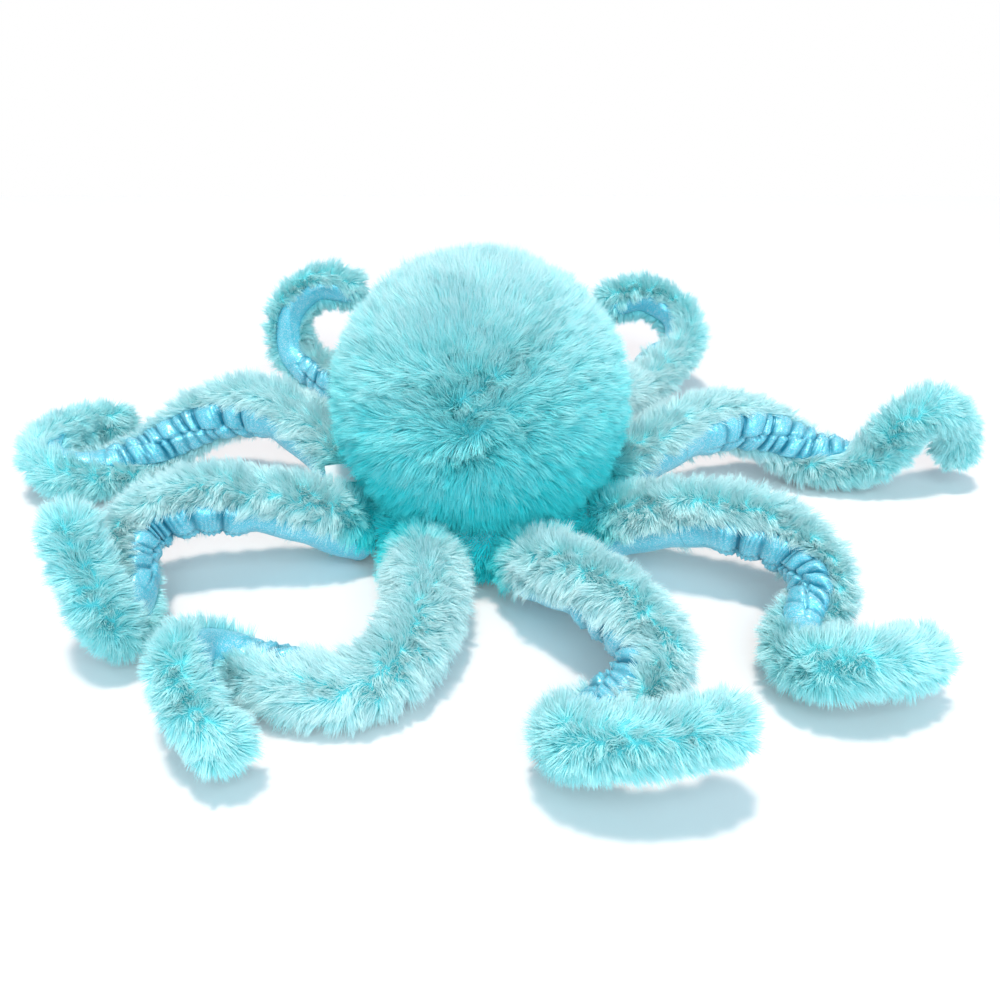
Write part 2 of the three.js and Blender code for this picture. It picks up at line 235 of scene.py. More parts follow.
# Arm routes
# The arms' middle lines, the same as in the solids: each is a table of points outwards from the
# body, to the side and up, with the turns that carry the pile strip round the arm.
ARM_LENGTH = 0.350
SHOULDER_REACH = 0.100
SHOULDER_HEIGHT = 0.029
REST_HEIGHT = 0.022
TUBE_ROOT = 0.021
TUBE_TIP = 0.013
TAPER_POWER = 1.6
ROUTE_STEPS = 400
SPLINE_STEPS = 6000
TIP_ROUNDING = 0.9  # how much of its radius the tip takes to close
ARM_TABLES = {
    "front_right": {
        "route": [
            (0.097, -0.009, 0.057), (0.2, 0.014, 0.08), (0.303, 0.04, 0.08), (0.394, 0.046, 0.051),
            (0.446, -0.023, 0.023), (0.469, -0.103, 0.011), (0.503, -0.166, 0.031),
            (0.566, -0.177, 0.069), (0.623, -0.12, 0.091), (0.651, -0.034, 0.103),
            (0.651, 0.046, 0.097),
        ],
        "rolls": [-12, -16, -22, -32, -55, -100, -145, -175, -190, -190, -190],
        "elbow": 0.5,
    },
    "right_front": {
        "route": [
            (0.103, -0.017, 0.066), (0.206, -0.02, 0.094), (0.306, -0.017, 0.094),
            (0.4, -0.046, 0.069), (0.451, -0.131, 0.034), (0.429, -0.229, 0.014),
            (0.446, -0.314, 0.02), (0.503, -0.363, 0.051), (0.571, -0.346, 0.066),
            (0.623, -0.286, 0.046), (0.646, -0.223, 0.017),
        ],
        "rolls": [-18, -30, -42, -46, -62, -105, -150, -185, -205, -205, -205],
        "elbow": 0.52,
    },
    "right_rear": {
        "route": [
            (0.097, -0.017, 0.069), (0.2, -0.011, 0.1), (0.303, 0, 0.103), (0.4, -0.011, 0.069),
            (0.48, -0.057, 0.017), (0.56, -0.114, 0), (0.617, -0.151, 0.034),
            (0.651, -0.174, 0.091), (0.703, -0.189, 0.137), (0.76, -0.197, 0.12),
            (0.791, -0.2, 0.057), (0.797, -0.2, 0.006),
        ],
        "rolls": [-36, -42, -50, -62, -85, -125, -175, -215, -240, -250, -255],
        "elbow": 0.5,
    },
    "rear_right": {
        "route": [
            (0.109, -0.009, 0.029), (0.226, -0.04, 0.04), (0.34, -0.08, 0.029),
            (0.44, -0.12, 0.009), (0.529, -0.16, 0.046), (0.62, -0.189, 0.091),
            (0.674, -0.146, 0.143), (0.646, -0.06, 0.186), (0.56, 0.014, 0.18),
        ],
        "rolls": [0, 15, 30, 50, 70, 90, 115, 130, 145, 150, 150],
        "elbow": 0.47,
    },
    "rear_left": {
        "route": [
            (0.11, 0, 0.03), (0.23, -0.01, 0.03), (0.34, 0.01, 0.02), (0.45, 0.04, 0.01),
            (0.53, 0.11, 0.01), (0.595, 0.175, 0.06), (0.625, 0.17, 0.165), (0.6, 0.095, 0.235),
            (0.565, -0.005, 0.215),
        ],
        "rolls": [0, 10, 20, 35, 50, 72, 95, 115, 135, 140, 145],
        "elbow": 0.47,
    },
    "left_rear": {
        "route": [
            (0.103, -0.006, 0.086), (0.206, -0.023, 0.126), (0.309, -0.029, 0.126),
            (0.409, 0, 0.086), (0.483, 0.063, 0.026), (0.531, 0.134, 0.003), (0.571, 0.194, 0.009),
            (0.629, 0.229, 0.023), (0.691, 0.206, 0.037), (0.709, 0.131, 0.046),
            (0.669, 0.057, 0.049), (0.6, 0.017, 0.046),
        ],
        "rolls": [30, 38, 48, 58, 75, 110, 150, 175, 185, 185, 185],
        "elbow": 0.54,
    },
    "left_front": {
        "route": [
            (0.091, 0.011, 0.074), (0.194, -0.014, 0.109), (0.3, -0.04, 0.12), (0.4, -0.04, 0.091),
            (0.446, 0.017, 0.057), (0.451, 0.091, 0.023), (0.469, 0.16, 0.009),
            (0.497, 0.209, 0.04), (0.517, 0.209, 0.109), (0.531, 0.177, 0.177),
            (0.543, 0.143, 0.237),
        ],
        "rolls": [24, 26, 29, 36, 44, 60, 75, 100, 123, 131, 139],
        "elbow": 0.56,
    },
    "front_left": {
        "route": [
            (0.091, 0.051, 0.046), (0.189, 0.091, 0.034), (0.291, 0.097, 0.017),
            (0.377, 0.063, 0.006), (0.411, -0.023, 0.003), (0.409, -0.103, 0.006),
            (0.423, -0.166, 0.034), (0.48, -0.191, 0.069), (0.543, -0.16, 0.086),
            (0.594, -0.097, 0.057), (0.617, -0.023, 0.011),
        ],
        "rolls": [0, -3, -5, -10, -35, -85, -135, -170, -190, -205, -215],
        "elbow": 0.5,
    },
}


def arm_route(name):
    """An arm's middle line at even steps: places, and the ways ahead, to the pile and across."""
    table = ARM_TABLES[name]
    bearing = math.radians((list(ARM_TABLES).index(name) + 0.5) * 45)
    out, side, up = np.array(table["route"]).T * ARM_LENGTH
    out = np.concatenate([[SHOULDER_REACH], out + SHOULDER_REACH])
    side = np.concatenate([[0], side])
    up = np.concatenate([[SHOULDER_HEIGHT], up + REST_HEIGHT])
    points = np.stack(
        [
            out * math.sin(bearing) + side * math.cos(bearing),
            side * math.sin(bearing) - out * math.cos(bearing),
            up,
        ],
        1,
    )
    points = np.concatenate([[2 * points[0] - points[1]], points, [2 * points[-1] - points[-2]]])
    part = np.linspace(0, len(points) - 3, SPLINE_STEPS + 1)
    first = np.minimum(part.astype(int), len(points) - 4)
    part = (part - first)[:, None]
    before, here, after, beyond = (points[first + step] for step in range(4))
    leave, arrive = (after - before) / 2, (beyond - here) / 2
    line = (
        here
        + leave * part
        + (3 * (after - here) - 2 * leave - arrive) * part**2
        + (2 * (here - after) + leave + arrive) * part**3
    )
    run = np.concatenate([[0], np.cumsum(np.linalg.norm(np.diff(line, axis=0), axis=1))])
    even = np.linspace(0, run[-1], ROUTE_STEPS + 1)
    places = np.stack([np.interp(even, run, line[:, axis]) for axis in range(3)], 1)
    ahead = np.gradient(places, axis=0)
    ahead /= np.linalg.norm(ahead, axis=1)[:, None]
    carried = np.zeros_like(places)
    way = np.array([0.0, 0.0, 1.0])
    for step, forward in enumerate(ahead):
        way = way - forward * (way @ forward)
        way /= np.linalg.norm(way)
        carried[step] = way
    rolls = np.radians(table["rolls"])
    even_share, roll_share = (np.linspace(0, 1, size) for size in (ROUTE_STEPS + 1, len(rolls)))
    roll = np.interp(even_share, roll_share, rolls)[:, None]
    pile = carried * np.cos(roll) + np.cross(ahead, carried) * np.sin(roll)
    return {
        "places": places,
        "ahead": ahead,
        "pile": pile,
        "across": np.cross(ahead, pile),
        "length": run[-1],
        "elbow": table["elbow"],
        "bearing": bearing,
    }


def at_share(values, share):
    place = np.clip(share, 0, 1) * ROUTE_STEPS
    low = np.minimum(place.astype(int), ROUTE_STEPS - 1)
    part = (place - low)[:, None]
    return values[low] * (1 - part) + values[low + 1] * part


def tube_radius(share):
    return TUBE_TIP + (TUBE_ROOT - TUBE_TIP) * (1 - np.clip(share, 0, 1)) ** TAPER_POWER


def on_arm(route, share, angle, stand=0.0):
    """Places on an arm's tube and the ways that it faces there. Its tip is rounded."""
    ahead = at_share(route["ahead"], share)
    middle = at_share(route["places"], share) + ahead * (
        np.minimum(share, 0) * route["length"]
    ).reshape(-1, 1)
    pile = at_share(route["pile"], share)
    across = at_share(route["across"], share)
    radius = tube_radius(share)
    left = (1 - share) * route["length"]
    climb = np.clip(1 - left / (radius * TIP_ROUNDING), 0, 1)
    lean = np.sqrt(1 - climb**2)
    spoke = pile * np.cos(angle)[:, None] + across * np.sin(angle)[:, None]
    facing = spoke * lean[:, None] + ahead * climb[:, None]
    place = middle + spoke * (radius * lean)[:, None] + facing * np.reshape(stand, (-1, 1))
    return place, facing


arm_routes = {name: arm_route(name) for name in ARM_TABLES}


# Long pile
# The aqua pile of the body and arms: fine fibres that stand out from a knitted backing, lean
# together in soft locks, and are darker in colour where they leave the cloth, partly as their own
# colour and partly as painted shade low in the pile. Each fibre is mixed between a shaded and a
# lit copy of its colour, as the painted light and shade of its tone set.
FLOW_SIZE, FLOW_LEAN = 0.02, 0.24  # the broad drift of the pile
WISP_SIZE = 0.007  # the finer drift that parts it in wisps
FIBRE_STRAY = 0.15
LONGEST_FIBRE, UNDERFUR = 1.08, 0.55  # shares of the pile's length
LABEL_MIDDLE = np.array([-0.112, -0.013, 0.054])
LABEL_CLEARING = 0.024  # the pile is pressed down beside the label
FLOOR_CLEARANCE = 0.001
GOLDEN_RATIO = 0.6180339887

fibre_form = bmesh.new()
bmesh.ops.create_cone(fibre_form, cap_ends=False, segments=3, radius1=1, radius2=1, depth=1)
bmesh.ops.translate(fibre_form, verts=fibre_form.verts, vec=(0, 0, 0.5))
bmesh.ops.pointmerge(
    fibre_form, verts=[vert for vert in fibre_form.verts if vert.co.z > 0.5], merge_co=(0, 0, 1)
)
bmesh.ops.recalc_face_normals(fibre_form, faces=fibre_form.faces)
fibre_form.verts.index_update()
FIBRE_POINTS = np.array([vert.co for vert in fibre_form.verts])
FIBRE_FACES = np.array([[vert.index for vert in face.verts] for face in fibre_form.faces])
fibre_form.free()


def even_pairs(count, seed):
    """Pairs of numbers from 0 to 1 that cover the square evenly, in no visible rows."""
    order = np.arange(count)
    return np.stack([(order + 0.5) / count, (order * GOLDEN_RATIO + seed * 0.37) % 1], 1)


def normalised(ways):
    return ways / np.maximum(np.linalg.norm(ways, axis=1), 1e-9)[:, None]


def drift(places, size, seed):
    """A smooth field of directions that changes over about the size given."""
    chance = np.random.default_rng(seed)
    field = np.zeros_like(places)
    for _ in range(9):
        way = chance.normal(0, 1, 3)
        way *= math.tau / (size * chance.uniform(0.7, 1.6)) / np.linalg.norm(way)
        field += np.sin(places @ way + chance.uniform(0, math.tau))[:, None] * chance.normal(
            0, 0.45, 3
        )
    return field


def grow_pile(name, roots, facing, comb, length, girth, lock, shade_and_tone, fleck, seed):
    """Fibres from their roots, in locks of so many, as one mesh, mapped from root to point. They
    are open where they leave the cloth, and lie flat where they meet the floor. A greater tone is
    paler; the tone given carries painted light and shade, and fleck is how much the tone of a lock
    may differ from its neighbours'."""
    chance = np.random.default_rng(seed)
    count = len(roots)
    flow = drift(roots, FLOW_SIZE, 5) * FLOW_LEAN
    flow += drift(roots, WISP_SIZE, 6) * (0.03 + 0.005 * lock)
    lean = normalised(facing + comb + flow + chance.normal(0, FIBRE_STRAY, (count, 3)))
    reach = length * (1 + 0.005 * lock * drift(roots, 0.009, 7)[:, 0])
    reach *= LONGEST_FIBRE - UNDERFUR * chance.uniform(0, 1, count) ** 2
    by_label = np.linalg.norm(roots + lean * reach[:, None] - LABEL_MIDDLE, axis=1)
    reach *= np.clip(by_label / LABEL_CLEARING - 0.3, 0.15, 1)
    tips = roots + lean * reach[:, None]
    leaders = chance.permutation(count)[: max(1, count // lock)]
    tree = KDTree(len(leaders))
    for place, leader in enumerate(leaders):
        tree.insert(roots[leader], place)
    tree.balance()
    near = leaders[[tree.find(root)[1] for root in roots]]
    pull = chance.uniform(0.1, 0.35 + 0.014 * lock, count)[:, None]
    tips += (tips[near] - tips) * pull
    tips[:, 2] = np.maximum(tips[:, 2], FLOOR_CLEARANCE)
    axis = normalised(tips - roots)
    turn = normalised(np.cross(axis, chance.normal(0, 1, (count, 3))))
    aside = np.cross(axis, turn)
    thick = (girth * chance.uniform(0.7, 1.3, count))[:, None, None]
    height = FIBRE_POINTS[:, 2][None, :, None]
    points = (
        roots[:, None] * (1 - height)
        + tips[:, None] * height
        + thick * turn[:, None] * FIBRE_POINTS[None, :, :1]
        + thick * aside[:, None] * FIBRE_POINTS[None, :, 1:2]
    )
    points[:, :, 2] = np.maximum(points[:, :, 2], 0.3 * FLOOR_CLEARANCE)
    mesh = bpy.data.meshes.new(name)
    faces = (np.arange(count)[:, None, None] * len(FIBRE_POINTS) + FIBRE_FACES).reshape(-1, 3)
    mesh.vertices.add(points.shape[0] * points.shape[1])
    mesh.vertices.foreach_set("co", points.astype(np.float32).ravel())
    mesh.loops.add(faces.size)
    mesh.loops.foreach_set("vertex_index", faces.astype(np.int32).ravel())
    mesh.polygons.add(len(faces))
    mesh.polygons.foreach_set("loop_start", np.arange(0, faces.size, 3, dtype=np.int32))
    mesh.update(calc_edges=True)
    shade_and_tone = shade_and_tone + fleck * drift(roots[near], 0.004, 8)[:, 0] + chance.normal(0, 0.05, count)
    # Painted light and shade ride on the map's second number, with each lock's own tone.
    chart = np.empty((count, len(FIBRE_POINTS), 2))
    chart[:, :, 0] = 0.01 + 0.95 * FIBRE_POINTS[:, 2] + 0.01 * (np.arange(4) % 2)
    chart[:, :, 1] = np.clip(shade_and_tone, 0.02, 0.96)[:, None] + 0.006 * np.arange(4)
    mesh.uv_layers.new(name="OFBake").data.foreach_set(
        "uv", chart.reshape(-1, 2)[faces.ravel()].astype(np.float32).ravel()
    )
    mesh.shade_flat()
    return new_object(name, mesh, pile_paint.material)


pile_paint = Paint("long pile", roughness=0.8, specular_ior_level=0.12)
fibre_map = pile_paint.node("ShaderNodeUVMap", {"uv_map": "OFBake"})
fibre_share = pile_paint.node("ShaderNodeSeparateXYZ", None, [fibre_map], 0)
fibre_shade_and_tone = pile_paint.node("ShaderNodeSeparateXYZ", None, [fibre_map], 1)
# Painted light: a shaded and a lit copy of the aqua, each paler towards the point; the darker root
# is partly the fibres' own colour.
fibre_deep_shade = pile_paint.ramp(
    fibre_share,
    [(0.0, (0.01, 0.86, 0.90)), (0.5, (0.04, 0.93, 0.96)), (1.0, (0.12, 0.97, 0.985))],
)
fibre_pale_lit = pile_paint.ramp(
    fibre_share,
    [
        (0.0, (0.64, 0.95, 0.96)),
        (0.4, (0.70, 0.975, 0.98)),
        (0.7, (0.75, 0.985, 0.99)),
        (1.0, (0.80, 0.99, 0.995)),
    ],
)
# Painted shade: the tone falls towards the root, so the pile is darker low down between the fibres.
fibre_shade_and_tone = fibre_shade_and_tone * (fibre_share * 0.35 + 0.85)
pile_paint.feed("Base Color", pile_paint.between(fibre_shade_and_tone, fibre_deep_shade, fibre_pale_lit))

backing_paint = Paint("knitted backing", roughness=0.9, specular_ior_level=0.1)
knit = backing_paint.noise(900, 2)
knit_colour = backing_paint.between(knit, (0.13, 0.60, 0.64), (0.20, 0.70, 0.74))
backing_paint.feed("Base Color", knit_colour)
backing_paint.bump(knit, 0.0005, 0.6)


# Body
# A ball of stuffing in a cover of long pile. Its fibres stand straight out, sag a little below the
# middle, and hang down over the tops of the arms.
BODY_CENTRE = Vector((0, 0, 0.112))
BALL_RADIUS = 0.0945
BACKING_DEPTH = 0.001  # how far the fibres start under the ball's skin
PILE_DEPTH = 0.0160
PILE_GIRTH = 0.0004
BODY_FIBRES = 130000
BODY_LOCK = 22  # fibres
BODY_PILE_END = math.radians(132)  # from the top, where the base's pile takes over
WHORL = np.array([-0.15, -0.988, -0.02])  # where the pile parts

ball_form = bmesh.new()
bmesh.ops.create_uvsphere(ball_form, u_segments=64, v_segments=40, radius=BALL_RADIUS)
bmesh.ops.translate(ball_form, verts=ball_form.verts, vec=BODY_CENTRE)
body_ball = from_bmesh("body_ball", ball_form, backing_paint.material)
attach(body_ball, "body")
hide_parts("body_stuffing")

spots = even_pairs(BODY_FIBRES, 1)
polar = np.arccos(1 - spots[:, 0] * (1 - math.cos(BODY_PILE_END)))
round_way = spots[:, 1] * math.tau
body_facing = np.stack(
    [np.sin(polar) * np.cos(round_way), np.sin(polar) * np.sin(round_way), np.cos(polar)], 1
)
body_roots = np.array(BODY_CENTRE) + body_facing * (BALL_RADIUS - BACKING_DEPTH)
droop = np.clip(np.degrees(polar) - 60, 0, 90) / 90
from_whorl = (body_facing @ WHORL)[:, None]
body_comb = body_facing * from_whorl - WHORL
body_comb *= 0.46 / np.maximum(np.linalg.norm(body_comb, axis=1), 0.25)[:, None]
body_comb *= np.clip(1.6 + 1.3 * from_whorl, 0.3, 1)
body_comb[:, 2] -= 0.08 + 0.3 * droop
# Painted light and shade: the pile is paler on top and darker low down and where it sags, as the
# light falls from above, and painted paler round the whorl, where its fibres shade one another.
body_shade_and_tone = 0.46 + 0.42 * body_facing[:, 2] - 0.5 * droop
body_shade_and_tone += 0.1 * np.clip((from_whorl[:, 0] - 0.8) / 0.2, 0, 1)
for order, band in enumerate(("crown", "upper", "lower")):
    chosen = np.minimum((spots[:, 0] * 3).astype(int), 2) == order
    body_pile = grow_pile(
        f"body_{band}_pile",
        roots=body_roots[chosen],
        facing=body_facing[chosen],
        comb=body_comb[chosen],
        length=np.full(chosen.sum(), PILE_DEPTH),
        girth=PILE_GIRTH,
        lock=BODY_LOCK,
        shade_and_tone=body_shade_and_tone[chosen],
        fleck=0.07,
        seed=11 + order,
    )
    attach(body_pile, "body")
    if band == "crown":
        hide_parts("body_cover")


# Base
# The underside of the body: a shallow cup of the same pile, sewn to the ball above it, that takes
# the arms on its shoulder and rests on the floor.
CUP_LINE = [
    (0.0, 0.004), (0.05, 0.004), (0.066, 0.005), (0.078, 0.013), (0.086, 0.03), (0.080, 0.044),
    (0.071, 0.052),
]
CUP_STEPS = 400
BASE_FIBRES = 18000
BASE_LOCK = 16
BASE_PILE_DEPTH, UNDER_PILE_CUT = 0.0125, 0.003  # its pile is shorter where it lies on the floor

cup_form = bmesh.new()
cup_verts = [
    bmesh.ops.create_vert(cup_form, co=(reach, 0, up))["vert"][0] for reach, up in CUP_LINE
]
cup_edges = [cup_form.edges.new(pair) for pair in zip(cup_verts, cup_verts[1:])]
bmesh.ops.subdivide_edges(cup_form, edges=cup_edges, cuts=2, smooth=0.8)
bmesh.ops.spin(
    cup_form,
    geom=cup_form.verts[:] + cup_form.edges[:],
    cent=(0, 0, 0),
    axis=(0, 0, 1),
    angle=math.tau,
    steps=64,
    use_merge=True,
)
bmesh.ops.remove_doubles(cup_form, verts=cup_form.verts, dist=1e-5)
bmesh.ops.holes_fill(cup_form, edges=[edge for edge in cup_form.edges if edge.is_boundary])
bmesh.ops.recalc_face_normals(cup_form, faces=cup_form.faces)
base_cup = from_bmesh("base_cup", cup_form, backing_paint.material)
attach(base_cup, "body")

line = np.array(CUP_LINE)
line_run = np.concatenate([[0], np.cumsum(np.linalg.norm(np.diff(line, axis=0), axis=1))])
fine = np.linspace(0, line_run[-1], CUP_STEPS)
fine_line = np.stack([np.interp(fine, line_run, line[:, axis]) for axis in range(2)], 1)
fine_way = np.gradient(fine_line, axis=0)
for _ in range(25):
    fine_way[1:-1] = (fine_way[:-2] + 2 * fine_way[1:-1] + fine_way[2:]) / 4
fine_way = normalised(fine_way)
weight = np.cumsum(fine_line[:, 0] + 0.004)
spots = even_pairs(BASE_FIBRES, 2)
steps = np.arange(CUP_STEPS)
at = np.interp(spots[:, 0], weight / weight[-1], steps)
cup_place, cup_way = (
    np.stack([np.interp(at, steps, values[:, axis]) for axis in range(2)], 1)
    for values in (fine_line, fine_way)
)
round_way = spots[:, 1] * math.tau
spread = np.stack([np.cos(round_way), np.sin(round_way), round_way * 0], 1)
upward = np.array([0, 0, 1.0])
cup_roots = spread * cup_place[:, :1] + upward * cup_place[:, 1:]
cup_facing = spread * cup_way[:, 1:] - upward * cup_way[:, :1]
under = np.clip(-cup_facing[:, 2], 0, 1)[:, None]
cup_facing = normalised(cup_facing * (1 - under) + spread * under * 1.4 - upward * under * 0.12)
cup_comb = spread * 0.2 - upward * 0.25 * (1 - under)
base_pile = grow_pile(
    "base_pile",
    roots=cup_roots,
    facing=cup_facing,
    comb=cup_comb,
    length=BASE_PILE_DEPTH - UNDER_PILE_CUT * under[:, 0],
    girth=1.5 * PILE_GIRTH,
    lock=BASE_LOCK,
    # Painted shade: the whole cup takes the shaded colour, as it lies under the body.
    shade_and_tone=0.0,
    fleck=0.03,
    seed=14,
)
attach(base_pile, "body")
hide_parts("base_panel")


# Arms
# Eight stuffed tubes, each of two sewn strips: long pile over two thirds of the way round and satin
# over the rest. They bend where they leave the body and again half way along.
ARM_FIBRES = 40000
ARM_LOCK = 28
ARM_PILE_ROOT, ARM_PILE_CUT = 0.0138, 0.0018  # the second is what it loses by the tip
INSIDE_BODY = -0.035  # the share of its length at which an arm's cloth starts
PILE_START = -0.03  # the same for its pile
SHOULDER_SHARE = 0.17
ELBOW_ROOM = 0.12
CORE_STEPS = 140
SATIN_CLOTH = 0.0004
SATIN_STEP = 0.0010
SATIN_ACROSS = 26
SATIN_GAP = 0.0006  # between the satin and the filling
CREASE_LEAN = 0.0022  # how far a crease strays from straight across
CREASE_WIDTH, WEDGE_SPREAD = 0.0013, 0.0060  # the second widens some of them towards the seam
STITCH_PITCH = 0.0049
WRINKLE_PITCH = 0.0043

satin_paint = Paint("gathered satin", roughness=0.30, metallic=0.22, sheen_weight=0.15)
# Painted shade: a crease attribute darkens the creases, groove, wrinkle hollows and edges.
satin_crease_shade = satin_paint.node("ShaderNodeAttribute", {"attribute_name": "crease"}, (), "Fac")
cloud = satin_paint.noise(60, 3)
satin_light = satin_paint.between(cloud, (0.08, 0.60, 0.75), (0.22, 0.70, 0.84))
# Painted glints: near-white flecks on fine grains stand in for the glitter catching the light, and
# the darkest grains are painted shade of flecks turned away from it.
grains = satin_paint.node(
    "ShaderNodeTexVoronoi", None, {"Vector": satin_paint.place(), "Scale": 1600}, "Color"
)
grain = satin_paint.node("ShaderNodeSeparateXYZ", None, [grains], 0)
satin_glint_fleck = satin_paint.ramp(
    grain, [(0.0, (0, 0, 0)), (0.6, (0.05, 0.05, 0.05)), (1.0, (1, 1, 1))]
)
satin_glints = satin_paint.between(satin_glint_fleck * 0.55, satin_light, (0.84, 0.88, 0.98))
satin_shade = satin_paint.ramp(grain, [(0.0, (1, 1, 1)), (0.3, (0, 0, 0))])
satin_glint_tone = satin_paint.between(satin_shade * 0.3, satin_glints, (0.01, 0.50, 0.72))
# The painted shade of the creases is a dark blue.
satin_paint.feed("Base Color", satin_paint.between(satin_crease_shade, satin_glint_tone, (0.0, 0.20, 0.31)))
satin_paint.bump(satin_paint.noise(1400, 2), 0.0002, 0.35)


def satin_half(share, name):
    """Half of the satin's way round, which narrows towards the tip. One arm's end is all pile."""
    half = np.interp(share, (0.45, 0.65, 0.85, 1), np.radians((62, 52, 44, 34)))
    if name == "left_rear":
        half = half * np.interp(share, (0.74, 0.84), (1, 0.1))
    return half


def gathered(share):
    """How far the satin is drawn up along its middle, from 0 to 1."""
    rise = np.clip((share - 0.2) / 0.07, 0, 1)
    fall = np.clip((0.68 - share) / 0.12, 0, 1)
    return (rise * rise * (3 - 2 * rise)) * (fall * fall * (3 - 2 * fall))


def satin_swell(along, share, across, reach, seed):
    """How far the satin stands off its tube, and how much painted shade it takes: in its creases,
    in the hollows between its puffs, in the stitched groove, in the hollows of its wrinkles and
    along its edges, where the pile overhangs it. Each side of the stitched middle has creases of
    its own, wide apart at first and then close together."""
    spread = np.abs(across)
    stand, crease_shade = np.zeros_like(along), np.zeros_like(along)
    for side in (-1, 1):
        chance = np.random.default_rng(seed * 2 + (side > 0))
        gaps = np.concatenate([chance.uniform(0.016, 0.026, 3), chance.uniform(0.007, 0.017, 30)])
        lines = 0.21 * reach + np.concatenate([[0], np.cumsum(gaps)])
        slants = chance.normal(0, CREASE_LEAN, len(lines))
        bows = chance.normal(0.0015, CREASE_LEAN, len(lines))
        depths = chance.uniform(0.35, 1, len(lines))
        wedges = chance.uniform(0, 1, len(lines)) ** 2
        here = (across > 0) == (side > 0)
        shift = spread[here, None]
        crease = lines + slants * shift + bows * shift**2
        crease = np.sort(crease, 1)
        place = along[here, None]
        order = np.clip((place > crease).sum(1) - 1, 0, len(lines) - 2)
        rows = np.arange(len(order))
        low, high = crease[rows, order], crease[rows, order + 1]
        width = np.maximum(high - low, 0.002)
        part = np.clip((along[here] - low) / width, 0, 1)
        arch = np.sin(math.pi * part) ** 0.7
        drop = np.where(part < 0.5, depths[order], depths[order + 1])
        wedge = CREASE_WIDTH + WEDGE_SPREAD * wedges[order] * spread[here] ** 2
        close = np.exp(-((np.minimum(part, 1 - part) * width / wedge) ** 2))
        edge = np.clip(1 - spread[here] ** 5, 0, 1)
        height = 0.0010 + 0.40 * np.minimum(width, 0.015)
        stand[here] = edge * height * (1 - drop * (1 - arch))
        # Painted shade in the creases and across the hollows between the puffs.
        fold_shade = close * 1.1 + 0.7 * (1 - arch) ** 1.4
        crease_shade[here] = np.clip(fold_shade * drop, 0, 1) * edge
    groove = np.exp(-((spread / 0.055) ** 2))
    frill = np.exp(-(((spread - 0.13) / 0.06) ** 2)) * (
        0.5 + 0.5 * np.sin(math.tau * along / STITCH_PITCH + 2 * np.sign(across))
    )
    slack = np.sin(along / 0.0085 + 1.6 * across + seed) * np.sin(along / 0.021 + across + seed)
    sway = 2.6 * np.sin(along / 0.009 + 2 * across + seed)
    wrinkle = np.sin(math.tau * along / WRINKLE_PITCH + sway)
    wrinkle *= spread * (1 - spread**4) * (0.5 + 0.5 * np.sin(along / 0.0052 + 3 * across))
    drawn = gathered(share)
    stand = drawn * (stand + 0.0016 * frill - 0.0022 * groove + 0.0013 * wrinkle)
    stand += (1 - drawn) * np.clip(1 - spread**3, 0, 1) * (0.0016 + 0.0009 * slack)
    # Painted shade in the stitched groove and in the hollows of the wrinkles.
    crease_shade = drawn * np.clip(crease_shade + 0.35 * groove - 0.8 * np.minimum(wrinkle, 0), 0, 1)
    # Painted shade along the satin's edges, where the pile overhangs it.
    return stand, np.maximum(crease_shade, 0.7 * np.clip((spread - 0.86) / 0.14, 0, 1))


def lay_on_arm(form, place):
    """Moves each vertex to where place puts its three numbers."""
    form.verts.ensure_lookup_table()
    numbers = np.array([vert.co for vert in form.verts])
    points = place(numbers)
    for vert, point in zip(form.verts, points):
        vert.co = point


